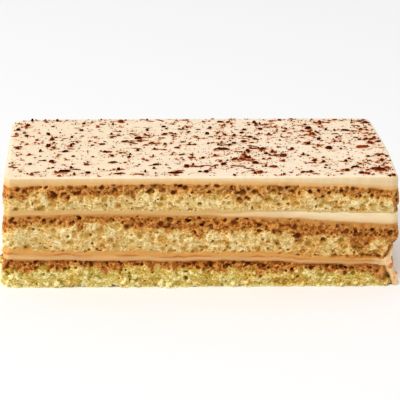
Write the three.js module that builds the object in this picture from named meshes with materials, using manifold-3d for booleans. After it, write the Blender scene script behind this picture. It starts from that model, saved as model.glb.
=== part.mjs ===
// A rectangular slice of tiramisu cake, cut on all four sides. From the base up it is sponge,
// cream, sponge, cream, sponge and a cream top strewn with chocolate flakes. Every layer runs
// right through the slice. At the right-hand end the knife has dragged the lower cream down
// over the bottom sponge to the foot of the slice, and a few soaked crumbs stick to it there.
//
// Millimetres, +Z up. The long front cut looks towards -Y. The origin is at the middle of the
// slice's box, on the surface that it stands on.
import * as THREE from "three";
import { mergeVertices } from "three/addons/utils/BufferGeometryUtils.js";
import Module from "manifold-3d";

const wasm = await Module();
wasm.setup();

// Overall size
const LENGTH = 120; // along X, at the top of the front cut
const DEPTH = 57; // front cut to back cut
const HEIGHT = 36.2; // base to the top of the cream
const END_SPREAD = 2; // how far the ends lean out between the top and the base
const FACE_SPREAD = 0.5; // how far the front and back cuts lean out
const SKEW = 2.7; // the ends run this far to the left from front to back
const END_BOW = 1; // the right end stands proud by this much at mid depth
const CORNER = 0.9; // how far the upright corners are rounded off
const CORNER_RUN = 1.6; // over this length of each side
const BACK_CORNER = 1.8; // the back left corner is worn off by this much more
const BACK_CORNER_RUN = 0.86; // from this share of the half length
const GAP = 0.3; // clearance between neighbouring layers
const FINEST = 0.03; // slivers and edges finer than this are smoothed away
const SEED = 41;

// Height of each layer's underside on the front cut, at five stations from left to right
const FEET = {
  sponge_bottom: [0, 0, 0, 0, 0],
  cream_lower: [9.3, 8.9, 8.8, 8.2, 7.2],
  sponge_middle: [12.4, 11.9, 11.4, 10.7, 9.2],
  cream_upper: [23.5, 24, 23.5, 22.3, 20.3],
  sponge_top: [25.5, 25.3, 25.1, 24.9, 24.2],
  cream_top: [33.8, 34.2, 34.4, 33.8, 32.5],
  top: [HEIGHT, HEIGHT, HEIGHT, HEIGHT, HEIGHT],
};
const DRIFT = 0.45; // how far the layers stray in height towards the back cut
const DRIFT_WAVES = 2.6; // waves of that along the length

// Sponge sheets
const CRAG = 0.3; // random relief of the cut crumb, in or out
const SPONGE_BULGE = 0.3; // soft sides stand out at mid height
const SPONGE_ROUND = 0.2; // and draw in at their upper and lower edges
const BASE_INSET = 2.6; // the flat foot starts this far inside the ragged lower edge
const BASE_LIFT = 0.9; // most that a missing crumb lifts the lower edge
const SPONGE_COLUMNS = { front: 42, end: 20 };
const SPONGE_ROWS = 5;
const PORE_CHANCE = 0.22; // share of the side's cells with a larger pore
const PORE_SIZE = [0.2, 0.38]; // radius as a share of the cell
const PORE_DEPTH = [0.5, 1.1];
const PORE_SIDES = 6;

// Cream layers
const CREAM_COLUMNS = { front: 20, end: 9 };
const CREAM_RECESS = 0.1; // cream stands back a little between the sheets
const TOP_EDGE = 0.5; // softened upper edge of the cream top

// Right-hand end: height against how far the sponge is cut back there, and the outer outline
// of the cream that covers the cut, from its foot to its upper tip
const END_CUT = [[0, 2.1], [7.2, 4.8], [9.4, 4.3], [13.3, 2.3], [15.3, 0.2], [HEIGHT, 0]];
const SMEAR_OUTSIDE = [[61.7, 0], [60.9, 2.2], [59.7, 5.6], [58.9, 9], [59.5, 12.2], [59.6, 13.2]];
const SMEAR_ROOT = 4; // reach of the smear back into the cream layer
const SMEAR_CLEAR = 2.5; // the sponge is smooth up to this far above the smear
const SMEAR_STEPS = 16;
const SMEAR_RIPPLE = 0.25;
const CRUMB_RADIUS = [0.7, 1.2];
// Soaked crumbs stuck to the smear: places along Y and Z
const CRUMBS = [
  [-27.6, 7.2], [-27.6, 2.6], [-17.5, 5.4], [-8.5, 8.3], [-4, 2.8], [5.5, 6.4], [15.5, 3.3], [21, 7.9],
];

// Chocolate flakes on the cream top. The largest: places along X and Y, length, width and turn
const LARGE_FLAKES = [
  [52, -1, 6, 3.6, 12], [54.5, -22.5, 6, 2, -18], [7, -3, 6, 1.6, -4], [-42, -23, 5, 0.8, 0],
  [-8, -24.5, 5, 1, 0], [33, -24, 4.6, 1, -5], [-25, -25, 4.6, 1.2, 5], [47.5, -20, 4, 1, 25],
  [48, 15, 3.8, 1.1, -8], [22.5, -19.5, 3.4, 1.3, -12], [-20, 8, 3.4, 2.6, 35], [-27.5, -15, 3.2, 0.6, 0],
  [26, -9.5, 3, 2.4, 20], [-43, -4.5, 3, 1.6, 20], [-6, -8, 3, 1, 25], [17, -15.5, 2.8, 2.2, -10],
  [36, 17, 2.8, 1.6, 15], [-50.5, -23.5, 2.8, 0.6, 8], [41, -2.5, 2.7, 2.6, 0], [14, 4.5, 2.6, 1.8, 0],
  [7, 24, 2.6, 1.2, -10], [-7.5, -1.5, 2.6, 1.7, 0], [-24.5, 4.5, 2.5, 1.1, 10], [20, -2.5, 2.4, 1.8, -25],
  [49, -25, 2.4, 1.6, 20], [-46.5, -14, 2.4, 2.2, -20], [-31.5, 2, 2.4, 1.1, 15], [-4.5, -19, 2.4, 1.8, -30],
  [-14, -17, 2.4, 1.4, 0], [-34.5, -24, 2.4, 1.4, -25], [7, -17, 2.3, 1.9, 0], [14.5, -10.5, 2.3, 1.4, 0],
  [35.5, -13.5, 2.2, 1, 0], [-35.5, -17, 2.2, 1.3, 0], [1.5, -23.5, 2, 2, 40], [-41, 2.5, 2, 1.2, 0],
  [-48, 6.5, 2, 1.2, 0], [-11.5, 12, 2, 1.1, 0],
];
const SMALL_FLAKES = 114;
const SMALL_SIZE = [0.9, 2.1]; // smallest and largest length of those
const SMALL_SLIMNESS = [0.45, 0.85]; // width over length
const FLAKE_RISE = [0.3, 0.75]; // height above the cream
const FLAKE_SINK = 0.35; // depth pressed into the cream
const FLAKE_SIDES = 6;
const FLAKE_MARGIN = 0.7; // clear cream between a flake and the edge
const FLAKE_LEAN = 0.85; // below 1, the small ones lie closer together towards the right
const FLAKE_JITTER = 3.5; // how far a small one strays from its even spacing

const CREAM_COLOUR = "#f3e2bd";
const FILLING_COLOUR = "#e6bd83";
const SPONGE_COLOUR = "#d9b26a";

// Seeded random numbers from 0 to 1.
function randomSource(seed) {
  let state = seed;
  return () => {
    state = (state + 0x6d2b79f5) | 0;
    let mixed = Math.imul(state ^ (state >>> 15), state | 1);
    mixed ^= mixed + Math.imul(mixed ^ (mixed >>> 7), mixed | 61);
    return ((mixed ^ (mixed >>> 14)) >>> 0) / 2 ** 32;
  };
}
const random = randomSource(SEED);
const between = ([low, high]) => low + (high - low) * random();
const signed = (most) => most * (2 * random() - 1);

// Value at a place on a line through [place, value] points.
function along(points, place) {
  for (let i = 1; i < points.length; i++) {
    const [x0, y0] = points[i - 1];
    const [x1, y1] = points[i];
    if (place <= x1) return THREE.MathUtils.mapLinear(Math.max(place, x0), x0, x1, y0, y1);
  }
  return points.at(-1)[1];
}

// Height of a layer's underside at (a, b), both from -1 to 1 across the plan. On the front cut
// it is the measured one, and behind that it strays.
const profiles = Object.fromEntries(
  Object.entries(FEET).map(([name, feet]) => [
    name,
    new THREE.SplineCurve(feet.map((height, k) => new THREE.Vector2(k, height))),
  ]),
);
function footHeight(name, a, b) {
  const height = profiles[name].getPoint((a + 1) / 2).y;
  if (name === "sponge_bottom" || name === "top") return height;
  const phase = Object.keys(FEET).indexOf(name);
  return height + ((DRIFT * (b + 1)) / 2) * (1 - a * a) * Math.sin(DRIFT_WAVES * a + phase);
}

// A place on the sides or in the middle of the slice, from plan coordinates and a height.
function place(a, b, z, nx = 0, ny = 0, out = 0) {
  const lean = 1 - z / HEIGHT;
  const cut = a > 0 ? a ** 8 * along(END_CUT, z) : 0;
  const bow = a > 0 ? a ** 8 * END_BOW * (1 - b * b) : 0;
  const skew = (SKEW * (b + 1)) / 2;
  const worn = b > 0 ? b * BACK_CORNER * THREE.MathUtils.smoothstep(-a, BACK_CORNER_RUN, 1) : 0;
  return new THREE.Vector3(
    a * (LENGTH / 2 + lean * END_SPREAD) - skew - cut + bow + nx * out,
    b * (DEPTH / 2 + lean * FACE_SPREAD) - worn + ny * out,
    z,
  );
}

// Columns round the sides of the slice, anticlockwise from the front left corner: plan place
// (a, b) and the way out (nx, ny).
function planColumns({ front, end }) {
  const columns = [];
  const addSide = (count, length, at, nx, ny) => {
    const run = 1 - (2 * CORNER_RUN) / length;
    for (let k = 0; k < count; k++) {
      const corner = k === 0;
      const [a, b] = at(corner ? -1 : THREE.MathUtils.mapLinear(k, 1, count - 1, -run, run));
      columns.push({ a, b, corner, nx: corner ? a : nx, ny: corner ? b : ny });
    }
  };
  addSide(front, LENGTH, (t) => [t, -1], 0, -1);
  addSide(end, DEPTH, (t) => [1, t], 1, 0);
  addSide(front, LENGTH, (t) => [-t, 1], 0, 1);
  addSide(end, DEPTH, (t) => [-1, -t], -1, 0);
  return columns;
}

// Closed surface through rows of equally many points, welded, with collapsed faces dropped.
// hasPore tells which cells, by row and column, get a pore.
function loft(rows, hasPore = () => false) {
  const count = rows[0].length;
  const points = rows.flat();
  const index = [];
  for (let j = 0; j + 1 < rows.length; j++) {
    for (let i = 0; i < count; i++) {
      const next = (i + 1) % count;
      const corners = [j * count + i, j * count + next, (j + 1) * count + next, (j + 1) * count + i];
      const [p, q, r, s] = corners;
      if (hasPore(j, i)) addPore(points, index, corners);
      else index.push(...((i + j) % 2 ? [p, q, r, p, r, s] : [p, q, s, q, r, s]));
    }
  }
  const geometry = new THREE.BufferGeometry().setFromPoints(points);
  return welded(geometry.setIndex(index));
}

// A pore in a cell, as a pit with an uneven rim: faces from the cell's four corners to the rim,
// then from the rim to the bottom of the pit.
function addPore(points, index, corners) {
  const [p, q, r, s] = corners.map((corner) => points[corner]);
  const across = (u, v) => p.clone().lerp(q, u).lerp(s.clone().lerp(r, u), v);
  const inward = s.clone().sub(p).cross(q.clone().sub(p)).normalize();
  const firstRim = points.length;
  for (let k = 0; k < PORE_SIDES; k++) {
    const turn = (2 * Math.PI * (k + signed(0.2))) / PORE_SIDES;
    const radius = between(PORE_SIZE);
    points.push(across(0.5 + radius * Math.cos(turn), 0.5 + radius * Math.sin(turn)));
  }
  const bottom = points.length;
  points.push(across(0.5 + signed(0.1), 0.5 + signed(0.1)).addScaledVector(inward, between(PORE_DEPTH)));

  const rimTurn = (k) => k / PORE_SIDES;
  const cornerTurn = (k) => (k - 1.5) / 4;
  let outer = 1;
  for (let k = 0; k < PORE_SIDES; k++) {
    const here = firstRim + k;
    const next = firstRim + ((k + 1) % PORE_SIDES);
    index.push(here, next, bottom);
    while (cornerTurn(outer + 1) < rimTurn(k + 0.5)) {
      index.push(corners[outer % 4], corners[(outer + 1) % 4], here);
      outer++;
    }
    index.push(corners[outer % 4], next, here);
  }
  while (outer < 5) {
    index.push(corners[outer % 4], corners[(outer + 1) % 4], firstRim);
    outer++;
  }
}

function welded(geometry) {
  geometry.deleteAttribute("normal");
  geometry.deleteAttribute("uv");
  const merged = mergeVertices(geometry, 1e-4);
  const faces = [];
  for (let i = 0; i < merged.index.count; i += 3) {
    const [p, q, r] = [0, 1, 2].map((k) => merged.index.getX(i + k));
    if (p !== q && q !== r && r !== p) faces.push(p, q, r);
  }
  return merged.setIndex(faces);
}

// Solids that can be joined and cut
function solid(geometry) {
  const merged = welded(geometry.index ? geometry : geometry.clone());
  return new wasm.Manifold(
    new wasm.Mesh({
      numProp: 3,
      vertProperties: new Float32Array(merged.attributes.position.array),
      triVerts: new Uint32Array(merged.index.array),
    }),
  );
}

// The largest body of a solid, as a geometry: slivers and loose scraps are dropped.
function geometryOf(made) {
  const bodies = made
    .simplify(FINEST)
    .decompose()
    .sort((one, two) => two.volume() - one.volume());
  const mesh = bodies[0].getMesh();
  const geometry = new THREE.BufferGeometry();
  geometry.setAttribute("position", new THREE.BufferAttribute(mesh.vertProperties, 3));
  geometry.setIndex(new THREE.BufferAttribute(mesh.triVerts, 1));
  geometry.computeVertexNormals();
  return geometry;
}

// One layer: its underside in the middle, its side rows from the lower edge to the upper one, and
// its upper side in the middle. sideRows are [share of the height, way out, roughness].
function layer(name, above, columns, sideRows, { hasFoot = false, poreChance = 0 } = {}) {
  const floor = (a, b) => footHeight(name, a, b) + (hasFoot ? 0 : GAP / 2);
  const ceiling = (a, b) => footHeight(above, a, b) - (above === "top" ? 0 : GAP / 2);
  const middle = 1 - DEPTH / LENGTH;
  const core = (height) =>
    columns.map(({ a }) => {
      const inner = THREE.MathUtils.clamp(a, -middle, middle);
      return place(inner, 0, height(inner, 0));
    });
  const isSmeared = (a, z) => a === 1 && z < SMEAR_OUTSIDE.at(-1)[1] + SMEAR_CLEAR;
  const rows = sideRows.map(([share, out, rough], k) =>
    columns.map(({ a, b, corner, nx, ny }) => {
      const ragged = hasFoot && k === 0 ? BASE_LIFT * random() ** 3 : 0;
      const z = THREE.MathUtils.lerp(floor(a, b), ceiling(a, b), share) + ragged;
      const relief = isSmeared(a, z) ? 0 : out + signed(rough);
      return place(a, b, z, nx, ny, relief - (corner ? CORNER : 0));
    }),
  );
  if (hasFoot) {
    const [shrinkX, shrinkY] = [LENGTH, DEPTH].map((width) => 1 - (2 * BASE_INSET) / width);
    rows.unshift(columns.map(({ a, b }) => place(a * shrinkX, b * shrinkY, 0)));
  }
  rows.unshift(core(floor));
  rows.push(core(ceiling));

  // Pores are in the side's inner rows, away from the corners and from what the smear covers.
  const firstSideRow = hasFoot ? 2 : 1;
  const hasPore = (j, i) =>
    j > firstSideRow &&
    j < rows.length - 3 &&
    !columns[i].corner &&
    !columns[(i + 1) % columns.length].corner &&
    !isSmeared(columns[i].a, rows[j][i].z) &&
    random() < poreChance;
  return loft(rows, hasPore);
}

// A sponge sheet with crumbly sides and its larger pores.
function spongeSheet(name, above, hasFoot) {
  const columns = planColumns(SPONGE_COLUMNS);
  const sideRows = Array.from({ length: SPONGE_ROWS + 1 }, (_, j) => {
    const share = j / SPONGE_ROWS;
    const belly = Math.sin(Math.PI * share);
    return [share, belly * (SPONGE_BULGE + SPONGE_ROUND) - SPONGE_ROUND, belly * CRAG];
  });
  return layer(name, above, columns, sideRows, { hasFoot, poreChance: PORE_CHANCE });
}

// A cream filling between two sheets.
function creamFilling(name, above) {
  return layer(name, above, planColumns(CREAM_COLUMNS), [[0, -CREAM_RECESS, 0], [1, -CREAM_RECESS, 0]]);
}

// Cream dragged down over the right-hand end, with soaked crumbs stuck to it.
function endSmear() {
  const inside = (z) => place(1, -1, z).x + GAP;
  const root = (z) => [LENGTH / 2 - SMEAR_ROOT - along(END_CUT, z), z];
  const low = footHeight("cream_lower", 1, -1) + GAP;
  const high = footHeight("sponge_middle", 1, -1) - GAP;
  const tip = SMEAR_OUTSIDE.at(-1)[1];
  const outline = [
    ...SMEAR_OUTSIDE,
    [inside(tip), tip],
    [inside(high + GAP), high + GAP],
    root(high),
    root(low),
    [inside(low - GAP), low - GAP],
    [inside(0), 0],
  ];
  const shape = new THREE.Shape(outline.map(([x, z]) => new THREE.Vector2(x, z)));
  const smear = new THREE.ExtrudeGeometry(shape, {
    depth: DEPTH,
    steps: SMEAR_STEPS,
    bevelEnabled: false,
  });
  smear.rotateX(Math.PI / 2).translate(0, DEPTH / 2, 0);
  const spots = smear.attributes.position;
  for (let i = 0; i < spots.count; i++) {
    const b = spots.getY(i) / (DEPTH / 2);
    const ripple = SMEAR_RIPPLE * Math.sin(9 * b + spots.getZ(i) / 3) * (b + 1);
    const shift = END_BOW * (1 - b * b) - (SKEW * (b + 1)) / 2 + Math.max(0, ripple);
    spots.setX(i, spots.getX(i) + shift);
  }
  return solid(smear);
}

function smearCrumbs() {
  const outside = SMEAR_OUTSIDE.map(([x, z]) => [z, x]);
  return CRUMBS.map(([y, z]) => {
    const b = y / (DEPTH / 2);
    const shift = END_BOW * (1 - b * b) - (SKEW * (b + 1)) / 2;
    const crumb = new THREE.IcosahedronGeometry(between(CRUMB_RADIUS), 0);
    crumb.rotateX(Math.PI * random()).scale(0.8, 1, 1.1);
    return solid(crumb.translate(along(outside, z) + shift, y, z));
  });
}

function lowerCream() {
  const filling = solid(creamFilling("cream_lower", "sponge_middle"));
  return geometryOf(wasm.Manifold.union([filling, endSmear(), ...smearCrumbs()]));
}

// Places and sizes of all flakes. The small ones follow an even sequence, strayed a little, and lie
// clear of those before them.
function flakePlan() {
  const [stepX, stepY] = [0.7548776662, 0.5698402911];
  const plan = LARGE_FLAKES.map(([x, y, length, width, degrees]) => {
    const turn = THREE.MathUtils.degToRad(degrees);
    return { x, y, length, width, turn };
  });
  for (let k = 0; plan.length < LARGE_FLAKES.length + SMALL_FLAKES; k++) {
    const length = between(SMALL_SIZE);
    const foldBack = (value, extent) => {
      const most = (extent - length) / 2 - FLAKE_MARGIN;
      return Math.abs(value) > most ? Math.sign(value) * (2 * most - Math.abs(value)) : value;
    };
    const across = ((0.5 + k * stepX) % 1) ** FLAKE_LEAN - 0.5;
    const back = ((0.5 + k * stepY) % 1) - 0.5;
    const y = foldBack(back * DEPTH + signed(FLAKE_JITTER), DEPTH);
    const x = foldBack(across * LENGTH + signed(FLAKE_JITTER), LENGTH) + place(0, y / (DEPTH / 2), HEIGHT).x;
    const width = length * between(SMALL_SLIMNESS);
    const turn = 2 * Math.PI * random();
    const clear = plan.every((other) => Math.hypot(other.x - x, other.y - y) > (other.length + length) / 2);
    if (clear) plan.push({ x, y, length, width, turn });
  }
  return plan;
}

// An irregular thin plate of chocolate, pressed into the cream top.
function flake({ x, y, length, width, turn }) {
  const corners = Array.from({ length: FLAKE_SIDES }, (_, i) => {
    const angle = ((i + signed(0.3)) / FLAKE_SIDES) * 2 * Math.PI;
    const reach = between([0.7, 1]) / 2;
    return new THREE.Vector2(length * reach * Math.cos(angle), width * reach * Math.sin(angle));
  });
  const plate = new THREE.ExtrudeGeometry(new THREE.Shape(corners), {
    depth: FLAKE_SINK + between(FLAKE_RISE),
    bevelEnabled: false,
  });
  return solid(plate.rotateZ(turn).translate(x, y, HEIGHT - FLAKE_SINK));
}

function topCream() {
  const sideRows = [[0, -CREAM_RECESS, 0], [0.75, 0, 0], [1, -TOP_EDGE, 0]];
  const cream = solid(layer("cream_top", "top", planColumns(CREAM_COLUMNS), sideRows));
  return geometryOf(wasm.Manifold.union([cream, ...flakePlan().map(flake)]));
}

// The slice
const material = (color, roughness) => new THREE.MeshStandardMaterial({ color, roughness, metalness: 0 });
const sponge = material(SPONGE_COLOUR, 0.95);
const filling = material(FILLING_COLOUR, 0.55);
const topping = material(CREAM_COLOUR, 0.5);

const slice = new THREE.Group();
function add(name, geometry, finish) {
  const mesh = new THREE.Mesh(geometry, finish);
  mesh.name = name;
  slice.add(mesh);
}
add("sponge_bottom", spongeSheet("sponge_bottom", "cream_lower", true), sponge);
add("cream_lower", lowerCream(), filling);
add("sponge_middle", spongeSheet("sponge_middle", "cream_upper", false), sponge);
add("cream_upper", creamFilling("cream_upper", "sponge_top"), filling);
add("sponge_top", spongeSheet("sponge_top", "cream_top", false), sponge);
add("cream_top", topCream(), topping);

// The origin goes to the middle of the slice's box, at its foot.
const box = new THREE.Box3().setFromObject(slice);
const centre = box.getCenter(new THREE.Vector3());
slice.position.set(-centre.x, -centre.y, -box.min.z);

export default slice;
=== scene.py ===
"""Looks of a slice of tiramisu cake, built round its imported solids.

The layers' solids become distance fields on one grid of voxels. Their outside is one wall, into which
crumb and pores are carved. The wall is meshed once and split where the layers meet, so no seam opens
between them. Chocolate flakes and cocoa specks are joined meshes of their own.
Lengths are in millimetres until a mesh is made.
"""
import math

import bpy
import numpy as np
import openvdb
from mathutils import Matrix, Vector


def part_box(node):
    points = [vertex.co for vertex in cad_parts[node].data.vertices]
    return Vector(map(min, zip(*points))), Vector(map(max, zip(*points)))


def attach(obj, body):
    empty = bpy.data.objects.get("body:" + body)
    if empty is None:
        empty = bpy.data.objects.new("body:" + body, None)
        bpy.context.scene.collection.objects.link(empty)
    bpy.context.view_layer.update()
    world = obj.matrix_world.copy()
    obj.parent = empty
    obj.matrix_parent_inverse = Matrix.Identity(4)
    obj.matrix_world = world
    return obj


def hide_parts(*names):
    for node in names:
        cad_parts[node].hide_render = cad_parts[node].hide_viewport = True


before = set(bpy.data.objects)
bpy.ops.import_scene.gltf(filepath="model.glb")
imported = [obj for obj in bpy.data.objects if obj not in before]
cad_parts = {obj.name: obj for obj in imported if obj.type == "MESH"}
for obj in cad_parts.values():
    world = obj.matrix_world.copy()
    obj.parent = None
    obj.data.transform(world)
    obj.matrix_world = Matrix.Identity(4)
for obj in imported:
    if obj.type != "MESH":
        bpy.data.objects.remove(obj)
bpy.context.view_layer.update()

MM = 0.001
SEED = 7
LAYERS = ("sponge_bottom", "cream_lower", "sponge_middle", "cream_upper", "sponge_top", "cream_top")
CREAMS = ("cream_lower", "cream_upper", "cream_top")
TOP = 36.2  # height of the cream top
MIDDLE_X = 1.45  # middle of the slice's length: the smeared end makes the box longer
HALF_DEPTH = 28.5
END_SKEW = 0.047  # the ends run this far to the left for each millimetre towards the back
# Soaked crumbs that stick to the smear at the right end: places along Y and Z
SMEAR_CRUMBS = (
    (-27.6, 7.2), (-27.6, 2.6), (-17.5, 5.4), (-8.5, 8.3), (-4.0, 2.8), (5.5, 6.4), (15.5, 3.3), (21.0, 7.9),
)

# Camera, fitted to the outline in the photograph
CAMERA_TARGET = (1.3, 0.0, 17.7)
CAMERA_YAW = -0.69
CAMERA_ELEVATION = 21.5
CAMERA_DISTANCE = 493.5
CAMERA_LENS = 136.66


def srgb(red, green, blue):
    """A colour from 0 to 255 as linear RGBA."""
    def linear(value):
        share = value / 255
        return share / 12.92 if share <= 0.04045 else ((share + 0.055) / 1.055) ** 2.4
    return (linear(red), linear(green), linear(blue), 1.0)


# Noise

NOISE_TABLE = np.random.default_rng(SEED).uniform(-1, 1, 8192).astype(np.float32)
NOISE_KEYS = np.array([7349, 19391, 83773])  # scatter neighbouring cells over the table
SEED_KEY = 131
SEED_SHIFT = 17.31  # with the key, gives each seed a noise of its own


def noise(points, size, seed=0):
    """Smooth noise from -1 to 1 with features of the given size, one number or three."""
    cells = points / np.asarray(size, np.float32) + SEED_SHIFT * seed
    base = np.floor(cells).astype(np.int64)
    part = (cells - base).astype(np.float32)
    part = part * part * (3 - 2 * part)
    total = np.zeros(len(points), np.float32)
    for corner in np.ndindex(2, 2, 2):
        key = (base + corner) @ NOISE_KEYS
        weight = np.prod(np.where(corner, part, 1 - part), axis=1)
        total += weight * NOISE_TABLE[(key + SEED_KEY * seed) % len(NOISE_TABLE)]
    return total


def smoothstep(low, high, value):
    share = np.clip((value - low) / (high - low), 0, 1)
    return share * share * (3 - 2 * share)


# Distance fields, all on one dense grid of voxels

VOXEL = 0.3
REACH = 3.0  # distances are known this far from a surface
MARGIN = 1.5  # empty space round the slice
CLEARANCE_FILL = 0.17  # layers grow by this much to close the clearance between them

LAYER_BOXES = np.array([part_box(name) for name in LAYERS]) / MM
GRID_LOW = np.floor((LAYER_BOXES[:, 0].min(axis=0) - MARGIN) / VOXEL).astype(int)
GRID_SHAPE = np.ceil((LAYER_BOXES[:, 1].max(axis=0) + MARGIN) / VOXEL).astype(int) - GRID_LOW + 1
GRID_ORIGIN = tuple(int(step) for step in GRID_LOW)


def distances(points, faces):
    """Distance to a closed mesh of triangles or quads at every voxel, negative inside."""
    kind = "triangles" if faces.shape[1] == 3 else "quads"
    grid = openvdb.FloatGrid.createLevelSetFromPolygons(
        points.astype(np.float32),
        transform=openvdb.createLinearTransform(VOXEL),
        halfWidth=REACH / VOXEL,
        **{kind: np.ascontiguousarray(faces, np.uint32)},
    )
    values = np.empty(GRID_SHAPE, np.float32)
    grid.copyToArray(values, ijk=GRID_ORIGIN)
    return values


def places(index):
    """Where voxels are."""
    return ((index + GRID_LOW) * VOXEL).astype(np.float32)


def sample(values, points):
    """A field's values at points, interpolated."""
    cells = np.clip(points / VOXEL - GRID_LOW, 0, GRID_SHAPE - 1.001)
    base = cells.astype(np.int64)
    part = cells - base
    total = np.zeros(len(points), np.float32)
    for corner in np.ndindex(2, 2, 2):
        weight = np.prod(np.where(corner, part, 1 - part), axis=1)
        x, y, z = (base + corner).T
        total += (weight * values[x, y, z]).astype(np.float32)
    return total


def slopes(values, index):
    """Directions of steepest rise at voxels."""
    made = np.empty(index.shape, np.float32)
    for axis in range(3):
        step = np.zeros(3, np.int64)
        step[axis] = 1
        ahead = np.minimum(index + step, GRID_SHAPE - 1)
        behind = np.maximum(index - step, 0)
        made[:, axis] = values[tuple(ahead.T)] - values[tuple(behind.T)]
    return made / np.maximum(np.linalg.norm(made, axis=1, keepdims=True), 1e-6)


def softened(values, passes):
    """The field blurred a little, which rounds facets and edges."""
    for _ in range(passes):
        for axis in range(3):
            values = (2 * values + np.roll(values, -1, axis) + np.roll(values, 1, axis)) / 4
    return values


RUGGED_SIDE = 64
RUGGED_DEPTH = 0.25
RUGGED = softened(np.random.default_rng(SEED + 1).normal(0, 1, (RUGGED_SIDE,) * 3).astype(np.float32), 2)
RUGGED *= RUGGED_DEPTH / RUGGED.std()
BLOB_REACH = 1.5  # a rugged ellipsoid stays within this many of its radii


def blobs(centres, radii, stretches, rugged_share=1.0):
    """For each rugged ellipsoid, its part of the grid and the distance to its surface, positive inside."""
    for centre, radius, stretch in zip(centres, radii, stretches):
        reach = BLOB_REACH * radius * stretch.max()
        first = np.clip(np.floor((centre - reach) / VOXEL).astype(int) - GRID_LOW, 0, GRID_SHAPE)
        last = np.clip(np.ceil((centre + reach) / VOXEL).astype(int) - GRID_LOW + 1, 0, GRID_SHAPE)
        if (last <= first).any():
            continue
        steps = [np.arange(start, end) for start, end in zip(first, last)]
        spread = [
            ((step + low) * VOXEL - middle) / share
            for step, low, middle, share in zip(steps, GRID_LOW, centre, stretch)
        ]
        x, y, z = np.meshgrid(*spread, indexing="ij", sparse=True)
        rugged = RUGGED[np.ix_(*(step % RUGGED_SIDE for step in steps))]
        window = tuple(slice(start, end) for start, end in zip(first, last))
        yield window, radius * (1 + rugged_share * rugged) - np.sqrt(x * x + y * y + z * z)


def carve(wall, limit, centres, radii, stretches):
    """Cuts ellipsoids out of the wall, but only as far as the limit is above zero."""
    for window, inside in blobs(centres, radii, stretches):
        wall[window] = np.maximum(wall[window], np.minimum(inside, limit[window]))


def add_lumps(wall, centres, radii, stretches):
    """Adds ellipsoids to the wall."""
    for window, inside in blobs(centres, radii, stretches):
        wall[window] = np.minimum(wall[window], -inside)


def surface(values):
    """Points and quads of a field's surface, without loose scraps."""
    grid = openvdb.FloatGrid(float(values.max()))
    grid.copyFromArray(np.ascontiguousarray(values), ijk=GRID_ORIGIN)
    grid.transform = openvdb.createLinearTransform(VOXEL)
    points, quads = grid.convertToQuads(isovalue=0.0)
    quads = quads.astype(np.int64)[:, ::-1]
    body = bodies(len(points), quads)
    names, counts = np.unique(body, return_counts=True)
    kept = body == names[counts.argmax()]
    return renumbered(points, quads[kept[quads[:, 0]]])[1:]


def bodies(count, faces):
    """A label for every point, the same on all points of one connected body."""
    pairs = np.concatenate([faces[:, side:side + 2] for side in range(faces.shape[1] - 1)])
    label = np.arange(count)
    while True:
        before = label.copy()
        lowest = np.minimum(label[pairs[:, 0]], label[pairs[:, 1]])
        np.minimum.at(label, pairs[:, 0], lowest)
        np.minimum.at(label, pairs[:, 1], lowest)
        label = label[label]
        if (label == before).all():
            return label


def renumbered(points, faces):
    """The points that faces use, as a choice and as points, and the faces numbered anew."""
    used = np.zeros(len(points), bool)
    used[faces] = True
    number = np.cumsum(used) - 1
    return used, points[used], number[faces]


# Meshes

def edge_loops(faces):
    """Closed chains of points along the open edges of some faces, turned to close them."""
    edges = np.stack([faces, np.roll(faces, -1, axis=1)], axis=-1).reshape(-1, 2)
    key = edges[:, 0] * (edges.max() + 1) + edges[:, 1]
    back = edges[:, 1] * (edges.max() + 1) + edges[:, 0]
    ways = {}
    for start, end in edges[~np.isin(back, key)]:
        ways.setdefault(int(end), []).append(int(start))
    loops = []
    while ways:
        chain = [next(iter(ways))]
        while chain and chain[-1] in ways:
            here = chain[-1]
            ahead = ways[here].pop()
            if not ways[here]:
                del ways[here]
            if ahead in chain:
                first = chain.index(ahead)
                loops.append(chain[first:])
                chain = chain[:first + 1] if ahead in ways else chain[:first]
            else:
                chain.append(ahead)
    return [loop for loop in loops if len(loop) > 2]


def new_object(name, data):
    made = bpy.data.objects.new(name, data)
    bpy.context.scene.collection.objects.link(made)
    return made


def add_piece(name, points, faces, material, slot, replaced=None, caps=(), rims=(), **attributes):
    """Adds a mesh piece that rides on the slice. Its attributes hold one number for each point.

    Faces are arrays of triangles or quads. Caps are many-sided faces that close the piece inside.
    Its edges along the rims are sharp.
    """
    corners = np.concatenate([*(rows.ravel() for rows in faces), *caps]).astype(np.int32)
    sizes = np.concatenate([
        *(np.full(len(rows), rows.shape[1]) for rows in faces), [len(cap) for cap in caps],
    ]).astype(np.int32)
    mesh = bpy.data.meshes.new(name)
    mesh.vertices.add(len(points))
    mesh.vertices.foreach_set("co", (points * MM).astype(np.float32).ravel())
    mesh.loops.add(len(corners))
    mesh.polygons.add(len(sizes))
    mesh.polygons.foreach_set("loop_start", (np.cumsum(sizes) - sizes).astype(np.int32))
    mesh.polygons.foreach_set("vertices", corners)
    mesh.polygons.foreach_set("use_smooth", np.arange(len(sizes)) < len(sizes) - len(caps))
    mesh.update(calc_edges=True)
    mesh.validate()
    for key, values in attributes.items():
        made = mesh.attributes.new(key, "FLOAT", "POINT")
        made.data.foreach_set("value", np.asarray(values, np.float32))
    if rims:
        pairs = {tuple(sorted(pair)) for rim in rims for pair in zip(rim, [*rim[1:], rim[0]])}
        sharp = [tuple(sorted(edge.vertices)) in pairs for edge in mesh.edges]
        mesh.attributes.new("sharp_edge", "BOOLEAN", "EDGE").data.foreach_set("value", sharp)
    mesh.materials.append(material)
    piece = new_object(name, mesh)
    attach(piece, "root")
    if replaced:
        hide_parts(replaced)


# Materials

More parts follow.
